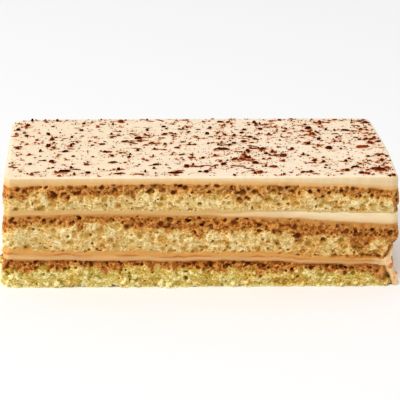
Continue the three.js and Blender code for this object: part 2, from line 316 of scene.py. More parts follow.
class Nodes:
    """Short ways to add linked nodes to a material."""

    def __init__(self, name):
        self.material = bpy.data.materials.new(name)
        self.material.use_nodes = True
        self.tree = self.material.node_tree
        self.shader = self.tree.nodes["Principled BSDF"]

    def add(self, kind, inputs=None, **settings):
        made = self.tree.nodes.new(kind)
        for key, value in settings.items():
            setattr(made, key, value)
        for key, value in (inputs or {}).items():
            self.put(made.inputs[key], value)
        return made

    def put(self, socket, value):
        if isinstance(value, bpy.types.NodeSocket):
            self.tree.links.new(value, socket)
        else:
            socket.default_value = value

    def attribute(self, name):
        return self.add("ShaderNodeAttribute", attribute_name=name).outputs["Fac"]

    def mix(self, share, first, second, blend="MIX"):
        inputs = {0: share, 6: first, 7: second}
        return self.add("ShaderNodeMix", inputs, data_type="RGBA", blend_type=blend).outputs[2]

    def math(self, operation, first, second):
        return self.add("ShaderNodeMath", {0: first, 1: second}, operation=operation).outputs[0]

    def remap(self, value, low, high, to_low=0.0, to_high=1.0):
        inputs = {"Value": value, "From Min": low, "From Max": high, "To Min": to_low, "To Max": to_high}
        return self.add("ShaderNodeMapRange", inputs, interpolation_type="SMOOTHSTEP").outputs[0]

    def ramp(self, value, stops):
        made = self.add("ShaderNodeValToRGB", {"Fac": value})
        elements = made.color_ramp.elements
        while len(elements) < len(stops):
            elements.new(0.5)
        for element, (place, colour) in zip(elements, stops):
            element.position = place
            element.color = colour
        return made.outputs["Color"]

    def shade(self, colour, value, low, high):
        """The colour times a grey that runs from low to high as the value goes from 0.3 to 0.7."""
        level = self.remap(value, 0.3, 0.7, low, high)
        grey = self.add("ShaderNodeCombineColor", {0: level, 1: level, 2: level}).outputs[0]
        return self.mix(1.0, colour, grey, "MULTIPLY")

    def coords(self, stretch=(1, 1, 1)):
        base = self.add("ShaderNodeTexCoord").outputs["Object"]
        return self.add("ShaderNodeMapping", {"Vector": base, "Scale": stretch}).outputs[0]

    def noise(self, size, detail=2.0, stretch=(1, 1, 1)):
        """Procedural noise with features of a size in millimetres."""
        inputs = {"Vector": self.coords(stretch), "Scale": 1 / (size * MM), "Detail": detail}
        return self.add("ShaderNodeTexNoise", inputs).outputs["Fac"]

    def cells(self, size):
        """Distance from the nearest of many scattered points, about a size apart in millimetres."""
        inputs = {"Vector": self.coords(), "Scale": 1 / (size * MM)}
        return self.add("ShaderNodeTexVoronoi", inputs).outputs["Distance"]

    def place(self, axis):
        """Object coordinate along an axis, in millimetres."""
        parts = self.add("ShaderNodeSeparateXYZ", {"Vector": self.coords()})
        return self.math("MULTIPLY", parts.outputs[axis], 1 / MM)

    def bump(self, height, strength, distance):
        inputs = {"Height": height, "Strength": strength, "Distance": distance * MM}
        self.put(self.shader.inputs["Normal"], self.add("ShaderNodeBump", inputs).outputs[0])

    def finish(self, colour, roughness, specular, scatter=0.0, scatter_mm=1.0):
        inputs = {
            "Base Color": colour, "Roughness": roughness, "Specular IOR Level": specular,
            "Subsurface Weight": scatter, "Subsurface Radius": SCATTER_COLOUR,
            "Subsurface Scale": scatter_mm * MM,
        }
        for key, value in inputs.items():
            self.put(self.shader.inputs[key], value)
        return self.material


SCATTER_COLOUR = (1.0, 0.6, 0.3)
CRUMB_STOPS = (0.0, 0.25, 0.5, 0.72, 1.0)
WET_STOPS = (0.0, 0.3, 0.5, 0.66, 0.86)


def crumb_ramp(*colours, stops=CRUMB_STOPS):
    """Colours of crumb from painted shade in its hollows to painted highlight on its crests."""
    return [(stop, srgb(*colour)) for stop, colour in zip(stops, colours)]


WET_CRUMB = crumb_ramp(
    (74, 24, 0), (128, 62, 12), (174, 99, 28), (196, 125, 50), (218, 156, 82), stops=WET_STOPS,
)
COFFEE = srgb(122, 58, 8)
# Colours on the floors of bubbles: painted shade in the hollows, golden where the crumb is dry and dark
# brown where it is wet
DRY_CELL_SHADE = srgb(200, 154, 62)
WET_CELL_SHADE = srgb(92, 36, 2)


def sponge_material(name, dry_crumb, golden_crumb, above, below):
    """Pale crumb, golden and then brown as coffee soaks it.

    Attributes: tone (painted highlight on crests, painted shade in hollows), soak, cell (painted shade, 1 on
    the floor of a bubble), over, under.
    """
    nodes = Nodes(name)
    # The fine cells and noise below shape the bump and also darken the tone in its lows and lighten it on
    # its highs: painted light at a small scale
    micro = nodes.remap(nodes.cells(0.8), 0.15, 0.5, -0.16, 0.06)
    fine = nodes.remap(nodes.noise(0.5, 3), 0.3, 0.7, -0.22, 0.21)
    flecks = nodes.remap(nodes.noise(0.6, 1, (0.5, 0.5, 1.1)), 0.58, 0.7, 0.0, 0.34)
    tone = nodes.math("ADD", nodes.math("ADD", nodes.attribute("tone"), micro), fine)
    tone = nodes.math("ADD", tone, flecks)
    soak = nodes.attribute("soak")
    dry = nodes.ramp(tone, dry_crumb)
    colour = nodes.mix(nodes.remap(soak, 0.0, 0.5), dry, nodes.ramp(tone, golden_crumb))
    colour = nodes.mix(nodes.remap(soak, 0.4, 1.0), colour, nodes.ramp(tone, WET_CRUMB))
    patches = nodes.remap(nodes.noise(1.3, 2), 0.42, 0.62)
    wetter = nodes.math("MULTIPLY", nodes.remap(soak, 0.5, 1.0), patches)
    colour = nodes.mix(nodes.math("MULTIPLY", wetter, 0.6), colour, COFFEE)
    # The floors of bubbles take these colours as painted shade
    cell_shade_floor = nodes.mix(nodes.remap(soak, 0.35, 0.8), DRY_CELL_SHADE, WET_CELL_SHADE)
    colour = nodes.mix(nodes.math("MULTIPLY", nodes.attribute("cell_shade"), 0.75), colour, cell_shade_floor)
    colour = nodes.shade(colour, nodes.noise(4.5, 2), 0.94, 1.05)
    colour = nodes.mix(nodes.attribute("over"), colour, above)
    colour = nodes.mix(nodes.attribute("under"), colour, below)
    nodes.bump(nodes.math("ADD", micro, fine), 0.35, 0.35)
    return nodes.finish(colour, 0.85, 0.1, 0.12, 0.8)


def filling_material(name, left, right, above, below):
    """Smooth cream between sheets. Left and right are its colours at foot and head.

    Attributes: rise (0 at the foot, 1 at the head), over, under, line, smear, crumb.
    """
    nodes = Nodes(name)
    across = nodes.remap(nodes.place("X"), -15.0, 45.0)
    rise = nodes.attribute("rise")
    colour = nodes.mix(rise, nodes.mix(across, left[0], right[0]), nodes.mix(across, left[1], right[1]))
    # Pale cream of the smear at the right end, made lighter still: partly its own colour, partly painted
    # light against the shade of its recess
    streaks = nodes.remap(nodes.noise(1.8, 3, (1, 1, 0.25)), 0.45, 0.7)
    smear = nodes.mix(streaks, srgb(252, 222, 170), srgb(232, 180, 118))
    colour = nodes.mix(nodes.attribute("smear"), colour, smear)
    colour = nodes.shade(colour, nodes.noise(2.0, 3, (0.3, 0.3, 1)), 0.92, 1.06)
    colour = nodes.mix(nodes.attribute("over"), colour, above)
    colour = nodes.mix(nodes.attribute("under"), colour, below)
    colour = nodes.mix(nodes.attribute("line"), colour, srgb(182, 102, 32))
    grain = nodes.noise(0.6, 3)
    crumb = nodes.attribute("crumb")
    soaked_crumb = nodes.mix(nodes.remap(crumb, 0.5, 1.0), srgb(206, 134, 60), srgb(116, 60, 24))
    soaked_crumb = nodes.shade(soaked_crumb, grain, 0.8, 1.15)
    colour = nodes.mix(nodes.remap(crumb, 0.0, 0.5), colour, soaked_crumb)
    nodes.bump(nodes.noise(2.0, 3, (1, 1, 0.3)), 0.15, 0.3)
    return nodes.finish(colour, 0.6, 0.15, 0.15, 1.0)


def topping_material(below):
    """Ivory cream, tanned at the foot of the cut, reddish round the flakes with cocoa stain and painted
    shadow. Attributes: under, and one for cocoa stain and painted shadow.
    """
    nodes = Nodes("topping_cream")
    across = nodes.remap(nodes.place("X"), -50.0, 30.0)
    cut = nodes.mix(across, srgb(227, 192, 140), srgb(232, 205, 160))
    cut = nodes.shade(cut, nodes.noise(1.4, 2, (1, 1, 0.1)), 0.96, 1.03)
    upper = nodes.remap(nodes.place("Z"), TOP - 0.5, TOP - 0.05)
    smooth = nodes.mix(across, srgb(252, 229, 196), srgb(253, 231, 202))
    smooth = nodes.shade(smooth, nodes.noise(6.0, 3), 0.97, 1.02)
    colour = nodes.mix(upper, cut, smooth)
    colour = nodes.mix(nodes.attribute("under"), colour, below)
    # Reddish-brown round the flakes and in patches: cocoa stain, and round the flakes partly painted shadow
    patchy = nodes.remap(nodes.noise(0.7, 3), 0.3, 0.7, 0.5, 1.3)
    stain = nodes.math("MULTIPLY", nodes.attribute("stain"), patchy)
    colour = nodes.mix(nodes.remap(stain, 0.02, 0.8), colour, srgb(238, 178, 122))
    colour = nodes.mix(nodes.remap(stain, 0.42, 1.0), colour, srgb(166, 70, 24))
    nodes.bump(nodes.noise(1.2, 3, (1, 1, 0.12)), 0.12, 0.3)
    return nodes.finish(colour, 0.6, 0.15, 0.15, 1.0)


def chocolate_material():
    """Dark flakes with redder edges. Attribute: tone."""
    nodes = Nodes("chocolate")
    grain = nodes.noise(0.5, 3)
    colour = nodes.ramp(nodes.attribute("tone"), [
        (0.0, srgb(34, 5, 0)), (0.45, srgb(86, 22, 2)), (1.0, srgb(168, 74, 29)),
    ])
    nodes.bump(grain, 0.4, 0.15)
    return nodes.finish(nodes.shade(colour, grain, 0.78, 1.2), 0.85, 0.0)


# Wall of the slice

# Voxels this near to the wall or a seam are changed
RELIEF_BAND = 1.2
WAVE_BAND = 2.0
SINK_BAND = 1.5
# How far the seams swing up and down, and how much more the lower ones do
SEAM_WAVES = 0.3
SEAM_RIPPLES = 0.15
LOWER_WAVES = 0.8
CAP_DEPTH = 0.8  # the faces that close a layer lie this far behind its rims
UNDERSIDE = 0.05  # what lies below this height belongs to the flat underside
SOAK_PLACES = np.linspace(-57, 57, 6) + MIDDLE_X
# What coffee has done to each sheet. At places along its length: how deep it has soaked the sheet from
# above, how strong it is there, and how golden the crumb is below. Then how much deeper it has soaked the
# left and right ends, how ragged its lower edge is, and tongues in the front cut where it has soaked deeper
# or less deep: place along the length, half width and depth.
SHEETS = {
    "sponge_bottom": {
        "depth": (3.3, 2.7, 2.8, 3.3, 3.4, 3.2),
        "strength": (1.0, 1.0, 1.0, 1.0, 1.0, 1.0),
        "golden": (0.1, 0.15, 0.15, 0.25, 0.25, 0.35),
        "ends": (0.0, 0.0),
        "ragged": 1.8,
        "tongues": ((-54, 5, -0.5), (-37, 3, -0.8), (-8, 5, -0.7), (47, 6, 0.4)),
    },
    "sponge_middle": {
        "depth": (2.7, 2.8, 4.5, 3.9, 5.0, 4.7),
        "strength": (1.0, 0.95, 1.0, 1.0, 1.0, 1.0),
        "golden": (0.05, 0.0, 0.05, 0.05, 0.3, 0.4),
        "ends": (1.5, 5.0),
        "ragged": 1.0,
        "tongues": (
            (-35.5, 2.2, 1.4), (-31, 3, -1.5), (-24, 2.5, -1.2), (-17, 3, 1),
            (-0.5, 2, 2), (31, 1.8, 3), (49, 2.5, 1.5),
        ),
    },
    "sponge_top": {
        "depth": (3.6, 3.2, 3.3, 4.0, 3.7, 3.8),
        "strength": (1.0, 0.92, 0.84, 0.78, 0.8, 0.93),
        "golden": (0.25, 0.1, 0.05, 0.15, 0.1, 0.1),
        "ends": (0.0, 7.0),
        "ragged": 1.0,
        "tongues": (
            (-48, 4, -1), (-43.5, 1.2, 1.8), (-39.5, 1, 1.8),
            (-20, 5, -0.8), (13.5, 2, 3.2), (29.5, 1.8, 1.6),
        ),
    },
}
WET_SHARE = 0.6  # crumb that is soaked more than this has the pores and bubbles of wet crumb
# How far holes stay from the creams: most of them, pores of the top sheet, bubbles and slits
SEAM_MARGIN = 0.15
TOP_MARGIN = 0.5
BUBBLE_MARGIN = 0.4
SLIT_MARGIN = 0.1
CRUMB_INSET = 0.8  # from the outside of a crumb on the smear to its middle
CRUMB_SCRAPS = 60  # small crumbs on the smear
SLITS = 45  # along the foot of the middle sheet
NOTCHES = 30  # along the foot of the bottom sheet
FOOT_LUMPS = 150
TORN_LUMPS = 0.08  # for each square millimetre of the bottom sheet's side
# Pores: how many for each square millimetre, smallest and largest radius, and how far the middle of
# one lies behind the cut, as shares of its radius
DRY_PORES = (
    (0.16, 0.35, 0.6, -0.6, -0.2),
    (0.25, 0.26, 0.36, -0.4, 0.2),
    (0.035, 0.3, 0.5, 0.1, 0.7),
)
WET_PORES = (
    (0.16, 0.4, 0.7, -0.35, 0.15),
    (0.5, 0.26, 0.4, -0.3, 0.35),
)
TORN_PORES = (
    (0.04, 0.6, 1.1, -0.6, -0.2),
    (0.3, 0.26, 0.42, -0.3, 0.4),
)
# Round bubbles: how many for each square millimetre, smallest and largest radius, and depth likewise
DRY_BUBBLES = (0.1, 0.45, 1.1, 0.25, 0.45)
WET_BUBBLES = (0.13, 0.4, 0.9, 0.4, 0.8)
TORN_BUBBLES = (0.22, 0.35, 0.8, 0.5, 0.9)
# Bubbles that stand out in the front cut: place along the length, height and radius
FRONT_BUBBLES = (
    (-54.5, 33, 0.7), (-52.5, 32, 0.7), (-43.5, 30.5, 1), (-35.5, 32.5, 0.6), (-30, 31.5, 0.6),
    (-25, 32.5, 0.6), (-16.5, 33.5, 0.6), (-3.5, 33, 0.7), (-49, 28.5, 1), (-44.5, 27.5, 0.6),
    (-24, 27, 1.2), (-11, 27.5, 0.8), (-5.5, 28.5, 0.7), (14, 31.5, 1), (12, 31.5, 0.7), (13, 29, 1),
    (25.5, 32.5, 0.9), (28.5, 32, 0.7), (27, 29.5, 1), (22, 29, 1), (38, 27, 0.9), (44, 31.5, 0.7),
    (47.5, 32.5, 0.8), (-26, 22.5, 0.6), (-17, 21, 0.8), (-11, 21, 0.9), (-8.5, 21, 0.6), (-5.5, 21.5, 0.7),
    (-51, 19.5, 0.9), (-47.5, 19, 0.8), (-44, 19, 1), (-37.5, 17.5, 0.9), (-33.5, 17.5, 1.3),
    (-26.5, 16, 0.9), (-20, 15.5, 0.8), (-21.5, 20, 1.2), (-17.5, 17.5, 1.2), (2, 21.5, 0.7),
    (11.5, 21.5, 0.8), (30, 20, 0.8), (31, 17, 1), (25, 18, 1.2), (24.5, 15, 1.1), (39, 15.5, 1.1),
    (46, 18.5, 0.9), (44.5, 15.5, 1), (49, 17.5, 0.8),
)
FRONT_DEPTH = 0.7  # their depth, as a share of the radius
FRONT_REACH = np.arange(-32, -25, 0.1)  # the front cut lies among these places along Y
END_REACH = np.arange(52, 66, 0.1)  # the smear at the right end lies among these places along X


def node_triangles(name):
    """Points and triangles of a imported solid."""
    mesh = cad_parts[name].data
    mesh.calc_loop_triangles()
    points = np.empty(3 * len(mesh.vertices), np.float32)
    mesh.vertices.foreach_get("co", points)
    faces = np.empty(3 * len(mesh.loop_triangles), np.int32)
    mesh.loop_triangles.foreach_get("vertices", faces)
    return points.reshape(-1, 3) / MM, faces.reshape(-1, 3)


def outer_wall(layers):
    """Distance to the slice's outside, with the clearance between its layers closed."""
    grown = np.min(list(layers.values()), axis=0) - CLEARANCE_FILL
    wall = softened(distances(*surface(grown)) + CLEARANCE_FILL, 2)
    return np.maximum(wall, heights() - TOP)


def heights():
    """Height of every voxel."""
    steps = (np.arange(GRID_SHAPE[2]) + GRID_LOW[2]) * VOXEL
    return np.broadcast_to(steps.astype(np.float32), GRID_SHAPE)


def ceiling(name, layers):
    """A function that gives the height of a sheet's upper side at points."""
    above = LAYERS[LAYERS.index(name) + 1]
    row = int(round(-GRID_LOW[1]))
    reached = layers[above][:, row, :] < layers[name][:, row, :]
    level = (reached.argmax(axis=1) + GRID_LOW[2]) * VOXEL
    along = (np.arange(GRID_SHAPE[0]) + GRID_LOW[0]) * VOXEL
    inside = np.abs(along - MIDDLE_X) < 56
    return lambda points: np.interp(points[:, 0], along[inside], level[inside])


def soaking(name, seed, top_of):
    """A function that gives the share of soaking at points of a sheet."""
    sheet = SHEETS[name]
    left, right = sheet["ends"]

    def soaked(points):
        depth = np.interp(points[:, 0], SOAK_PLACES, sheet["depth"])
        depth += 1.3 * noise(points, (5, 5, 20), seed)
        depth += sheet["ragged"] * noise(points, (1.9, 1.9, 5), seed + 1)
        for place, width, deeper in sheet["tongues"]:
            beside = np.exp(-((points[:, 0] - place) / width) ** 2)
            depth += deeper * beside * smoothstep(-22, -26, points[:, 1])
        depth += 0.6 * noise(points, 0.9, seed + 2)
        depth += 2.4 * smoothstep(0.35, 0.75, noise(points, (3.4, 3.4, 30), seed + 4))
        along = points[:, 0] - MIDDLE_X + END_SKEW * (points[:, 1] + HALF_DEPTH)
        depth += left * smoothstep(-57.5, -60, along)
        depth += right * smoothstep(57.5, 60, along)
        wet = smoothstep(2.3, -1.4, top_of(points) - points[:, 2] - depth)
        wet *= np.interp(points[:, 0], SOAK_PLACES, sheet["strength"])
        golden = np.interp(points[:, 0], SOAK_PLACES, sheet["golden"])
        golden += 0.45 * noise(points, 3.2, seed + 3)
        return np.maximum(wet, np.clip(golden, 0, 0.55))
    return soaked


def soaked_foot(points):
    """Share of soaking at the foot of the middle sheet, which grows to the right."""
    away = sample(layers["cream_lower"], points) + 0.8 * noise(points, 1.6, 80)
    right = smoothstep(40, 56, points[:, 0])
    strength = 0.25 + 0.6 * smoothstep(-10, 50, points[:, 0]) + 0.15 * right
    return smoothstep(1.9 + 1.5 * right, 0.2 + 0.6 * right, away) * strength


def wave_seams(layers, wall):
    """Waves in the seams between the layers: near the wall, their fields move up and down."""
    level = heights()
    band = np.argwhere((np.abs(wall) < WAVE_BAND) & (level > 1) & (level < TOP - 1))
    spots = places(band)
    swing = SEAM_WAVES * noise(spots, (7, 7, 9), 50) + SEAM_RIPPLES * noise(spots, (2.6, 2.6, 5), 51)
    swing = swing * (1 + LOWER_WAVES * smoothstep(17, 13, spots[:, 2]))
    spots[:, 2] += swing * smoothstep(1, 4, spots[:, 2]) * smoothstep(TOP - 1, TOP - 2, spots[:, 2])
    for values in layers.values():
        values[tuple(band.T)] = sample(values, spots)


def sink_crumb(layers, sheet, filling, depth, ragged, seed, none_at, all_at):
    """Lets the crumb of a sheet sink into the cream below it, not at all from a place along X on."""
    band = np.argwhere((np.abs(layers[sheet]) < SINK_BAND) & (np.abs(layers[filling]) < SINK_BAND))
    window = tuple(band.T)
    spots = places(band)
    sunk = (depth + ragged * noise(spots, (2.6, 2.6, 5), seed)) * smoothstep(none_at, all_at, spots[:, 0])
    grown = layers[sheet][window] - sunk * smoothstep(SINK_BAND, 0.8, layers[filling][window])
    layers[sheet][window] = grown
    layers[filling][window] = np.maximum(layers[filling][window], -grown)


def close_foot(wall):
    """Brings the torn side of the bottom sheet straight down to the surface that it stands on."""
    level = heights()
    band = np.argwhere((level > -2) & (level < 1.8) & (np.abs(wall) < REACH))
    spots = places(band)
    spots[:, 2] = np.maximum(spots[:, 2], 1.0 + 0.6 * noise(spots * [1, 1, 0], 2.5, 85))
    window = tuple(band.T)
    wall[window] = np.minimum(wall[window], sample(wall, spots))


def roughen(wall, layers, cream):
    """Uneven cut: fine crumb on the upper sheets, torn lumps on the bottom one, smooth cream."""
    band = np.argwhere(np.abs(wall) < RELIEF_BAND)
    spots = places(band)
    window = tuple(band.T)
    beside = smoothstep(0.95, 0.6, np.abs(slopes(wall, band)[:, 2]))
    crumbly = smoothstep(0.0, 0.9, cream[window]) * beside
    dense = smoothstep(1.5, 0.2, layers["cream_upper"][window]) * (layers["sponge_top"][window] < 0.3)
    crumbly = crumbly * (1 - 0.7 * dense)
    strands = 0.2 * (smoothstep(0.0, 0.5, np.abs(noise(spots, 1.5, 1))) - 0.6)
    hollows = 0.42 * smoothstep(0.1, 0.6, noise(spots, 1.8, 2))
    fine = strands + hollows + 0.1 * noise(spots, 0.9, 3) - 0.05
    torn = 0.55 * noise(spots, 2.3, 4) + 0.3 * noise(spots, 1.2, 5) + 0.15 * noise(spots, 0.7, 6)
    bottom = smoothstep(0.6, -0.6, layers["sponge_bottom"][window])
    relief = fine + bottom * (torn - fine)
    creamy = 0.05 * noise(spots, (1.4, 1.4, 6), 7) + 0.05 * noise(spots, 8, 8)
    wall[window] += creamy + crumbly * (relief - creamy)


def beside_wall(wall, chosen):
    """Places on the slice's sides among chosen voxels, and the ways out of them."""
    shell = np.argwhere((np.abs(wall) < 0.5 * VOXEL) & chosen)
    outward = slopes(wall, shell)
    upright = np.abs(outward[:, 2]) < 0.6
    return places(shell[upright]), outward[upright]


def picked(rng, here, density):
    """Random places among some voxels of the wall, so many for each square millimetre."""
    return rng.choice(np.flatnonzero(here), int(density * here.sum() * VOXEL ** 2))


def set_back(spots, outward, depths):
    """Places at some depths behind the wall."""
    return spots - outward * depths[:, None]


def add_pores(wall, layers, cream, name, soaked, seed):
    """Carves one sheet's pores into the wall."""
    rng = np.random.default_rng(SEED + seed)
    spots, outward = beside_wall(wall, layers[name] < VOXEL)
    wet = soaked(spots) > WET_SHARE
    dry_pores = TORN_PORES if name == "sponge_bottom" else DRY_PORES
    limit = cream - SEAM_MARGIN
    if name == "sponge_top":
        limit = np.minimum(layers["cream_top"], layers["cream_upper"]) - TOP_MARGIN
    for kinds, here in ((dry_pores, ~wet), (WET_PORES, wet)):
        for density, smallest, largest, nearest, deepest in kinds:
            chosen = picked(rng, here, density)
            count = len(chosen)
            radii = smallest + (largest - smallest) * rng.random(count) ** 2
            depths = radii * rng.uniform(nearest, deepest, count)
            centres = set_back(spots[chosen], outward[chosen], depths) + rng.normal(0, 0.15, (count, 3))
            carve(wall, limit, centres, radii, rng.uniform(0.75, 1.3, (count, 3)))


def inside_along(wall, axis, reach, spot):
    """The places of a reach along an axis that lie inside the wall, on the line through a spot."""
    line = np.tile(np.array(spot, float), (len(reach), 1))
    line[:, axis] = reach
    return reach[sample(wall, line) < 0]


def front_place(wall, x, z):
    """The place on the front cut at a distance along the length and a height."""
    return x, inside_along(wall, 1, FRONT_REACH, (x, 0, z)).min(), z


def add_bubbles(wall, layers, cream, soaked):
    """Carves round bubbles into the sheets, and returns a field of painted shade that is 1 on the floor of
    each bubble.
    """
    rng = np.random.default_rng(SEED + 10)
    x, z, radii = np.array(FRONT_BUBBLES).T
    spots = [np.array([front_place(wall, *pair) for pair in zip(x, z)])]
    ways = [np.tile([0.0, -1.0, 0.0], (len(x), 1))]
    sizes = [radii]
    depths = [FRONT_DEPTH * radii]
    for name in ("sponge_middle", "sponge_top", "sponge_bottom"):
        found, outward = beside_wall(wall, (layers[name] < 0) & (cream > 0.8))
        wet = soaked[name](found) > WET_SHARE
        kinds = ((DRY_BUBBLES, ~wet), (WET_BUBBLES, wet))
        if name == "sponge_bottom":
            kinds = ((TORN_BUBBLES, wet),)
        for (density, smallest, largest, shallowest, deepest), here in kinds:
            chosen = picked(rng, here, density)
            count = len(chosen)
            spots.append(found[chosen])
            ways.append(outward[chosen])
            sizes.append(smallest + (largest - smallest) * rng.random(count) ** 1.5)
            depths.append(rng.uniform(shallowest, deepest, count))
    sizes = np.concatenate(sizes)
    depths = np.concatenate(depths)
    radii = (sizes ** 2 + depths ** 2) / (2 * depths)
    centres = np.vstack(spots) + np.vstack(ways) * (radii - depths)[:, None]
    stretches = rng.uniform(0.9, 1.1, (len(radii), 3))
    limit = np.minimum(cream - SEAM_MARGIN, layers["cream_upper"] - BUBBLE_MARGIN)
    floor_shade = np.zeros(GRID_SHAPE, np.float32)
    for window, inside in blobs(centres, radii, stretches, 0.25):
        wall[window] = np.maximum(wall[window], np.minimum(inside, limit[window]))
        floor_shade[window] = np.maximum(floor_shade[window], smoothstep(-0.2, 0.05, inside))
    return floor_shade


def add_slits(wall, layers, cream):
    """Carves flat slits along the foot of the middle sheet."""
    rng = np.random.default_rng(SEED + 11)
    near = (layers["cream_lower"] > 0.35) & (layers["cream_lower"] < 0.8) & (layers["sponge_middle"] < 0)
    spots, outward = beside_wall(wall, near)
    chosen = rng.choice(len(spots), SLITS)
    radii = rng.uniform(0.28, 0.4, SLITS)
    centres = set_back(spots[chosen], outward[chosen], radii * rng.uniform(0, 0.6, SLITS))
    wide = rng.uniform(1.3, 2.6, SLITS)
    carve(wall, cream - SLIT_MARGIN, centres, radii, np.column_stack([wide, wide, np.full(SLITS, 0.7)]))


def tear_bottom(wall, layers, cream):
    """Lumps on the torn side of the bottom sheet, and notches and lumps along its lower edge."""
    rng = np.random.default_rng(SEED + 12)
    level = heights()
    bottom = layers["sponge_bottom"] < 0.3
    spots, outward = beside_wall(wall, bottom & (level > 0.4) & (level < 1.1))
    flat = spots * [1, 1, 0]
    chosen = rng.choice(len(spots), NOTCHES)
    radii = rng.uniform(0.5, 1.0, NOTCHES)
    centres = flat[chosen] - [0, 0, 0.3]
    carve(wall, cream - SEAM_MARGIN, centres, radii, np.tile([1.5, 1.5, 0.9], (NOTCHES, 1)))
    chosen = rng.choice(len(spots), FOOT_LUMPS)
    radii = rng.uniform(0.5, 1.2, FOOT_LUMPS)
    centres = set_back(flat[chosen], outward[chosen], radii * rng.uniform(0.7, 1.1, FOOT_LUMPS))
    centres[:, 2] = radii * rng.uniform(0.3, 1.2, FOOT_LUMPS)
    add_lumps(wall, centres, radii, rng.uniform(0.7, 1.5, (FOOT_LUMPS, 3)))
    spots, outward = beside_wall(wall, bottom & (level > 0.8) & (cream > 2.2))
    chosen = picked(rng, np.ones(len(spots), bool), TORN_LUMPS)
    count = len(chosen)
    radii = rng.uniform(0.6, 1.4, count)
    centres = set_back(spots[chosen], outward[chosen], radii * rng.uniform(0.75, 1.0, count))
    add_lumps(wall, centres, radii, rng.uniform(0.8, 1.3, (count, 3)))


def crumb_middles(wall):
    """Middles of the crumbs that stick to the smear, just inside the outermost place of each."""
    return np.array([
        (inside_along(wall, 0, END_REACH, (0, y, z)).max() - CRUMB_INSET, y, z) for y, z in SMEAR_CRUMBS
    ])


def add_smear_crumbs(wall, layers, middles):
    """Adds craggy crumbs to the smear, and returns a field that tells how dark a crumb is there."""
    rng = np.random.default_rng(SEED + 13)
    shades = np.zeros(GRID_SHAPE, np.float32)

    def add_crumb(middle, size, count, shade):
        centres = middle + rng.normal(0, 1, (count, 3)) * [0.15, 0.7 * size, 0.6 * size]
        radii = size * rng.uniform(0.35, 0.8, count)
        for window, inside in blobs(centres, radii, rng.uniform(0.7, 1.3, (count, 3))):
            wall[window] = np.minimum(wall[window], -inside)
            shades[window] = np.maximum(shades[window], shade * smoothstep(-0.4, 0.0, inside))

    for middle in middles:
        add_crumb(middle, rng.uniform(0.7, 1.2), rng.integers(4, 9), rng.uniform(0.6, 1.0))
    spots, outward = beside_wall(wall, layers["cream_lower"] < 0.3)
    spots = spots[(outward[:, 0] > 0.6) & (noise(spots, 4, 87) > 0.05)]
    for spot in spots[rng.choice(len(spots), CRUMB_SCRAPS)]:
        add_crumb(spot, rng.uniform(0.25, 0.7), rng.integers(1, 4), rng.uniform(0.5, 1.0))
    return shades


def square_foot(points, uncut):
    """Moves points of the lower rim out to the uncut wall, so that no dark bevel runs along the foot."""
    low = np.flatnonzero(points[:, 2] < 0.6 * VOXEL)
    rim = low[sample(uncut, points[low]) > -0.25]
    index = np.round(points[rim] / VOXEL).astype(int) - GRID_LOW
    points[rim] -= slopes(uncut, index) * [1, 1, 0] * sample(uncut, points[rim])[:, None]
    points[rim, 2] = 0


def layer_of_faces(points, faces, layers):
    """Index of the layer that each face belongs to, and -1 on the flat underside."""
    middles = points[faces].mean(axis=1)
    nearest = np.stack([sample(layers[name], middles) for name in LAYERS]).argmin(axis=0)
    nearest[points[faces][:, :, 2].max(axis=1) < UNDERSIDE] = -1
    return nearest


def without_islands(points, faces, label):
    """Gives scraps of a layer that lie apart from it to the layer round them."""
    for index in range(len(LAYERS)):
        here = label == index
        body = bodies(len(points), faces[here])
        names, counts = np.unique(body[faces[here]], return_counts=True)
        other = (label != index) & (label >= 0)
        around = np.full(len(points), -1)
        around[faces[other]] = label[other, None]
        stray = here & (body[faces[:, 0]] != names[counts.argmax()])
        given = around[faces[stray]].max(axis=1)
        label[stray] = np.where(given >= 0, given, index)
    return label


layers = {name: distances(*node_triangles(name)) for name in LAYERS}
wall = outer_wall(layers)
plain_wall = wall.copy()
wave_seams(layers, wall)
sink_crumb(layers, "sponge_top", "cream_upper", depth=0.65, ragged=0.2, seed=52, none_at=25, all_at=-5)
sink_crumb(layers, "sponge_middle", "cream_lower", depth=0.5, ragged=0.3, seed=53, none_at=54, all_at=48)
cream = np.min([layers[name] for name in CREAMS], axis=0)
soaked = {
    name: soaking(name, 20 + 10 * number, ceiling(name, layers)) for number, name in enumerate(SHEETS)
}
close_foot(wall)
roughen(wall, layers, cream)
bubble_floor_shade = add_bubbles(wall, layers, cream, soaked)
for number, name in enumerate(SHEETS):
    add_pores(wall, layers, cream, name, soaked[name], number)
add_slits(wall, layers, cream)
tear_bottom(wall, layers, cream)
stuck_crumbs = crumb_middles(plain_wall)
crumb_shades = add_smear_crumbs(wall, layers, stuck_crumbs)
uncut = wall
wall = np.maximum(uncut, -heights())
points, quads = surface(wall)
square_foot(points, uncut)
face_layers = without_islands(points, quads, layer_of_faces(points, quads, layers))

# Painted light on the crumb: lighter on its crests as painted highlight, darker in its hollows and deep in
# the slice as painted shade
deep = np.maximum(-sample(plain_wall, points), 0)
crest = sample(softened(wall, 6), points)
crumb_painted_shade_and_highlight = np.clip(0.56 + np.where(crest > 0, 1.5, 1.0) * crest - 0.15 * deep, 0, 1)
# Painted shade on the floors of the bubbles
cell_shade_share = sample(bubble_floor_shade, points)


def nearness(name, width):
    """From 1 at a neighbouring layer to 0 at a distance from it, at all points of the wall."""
    return smoothstep(width, 0.1, sample(layers[name], points) - 0.15)


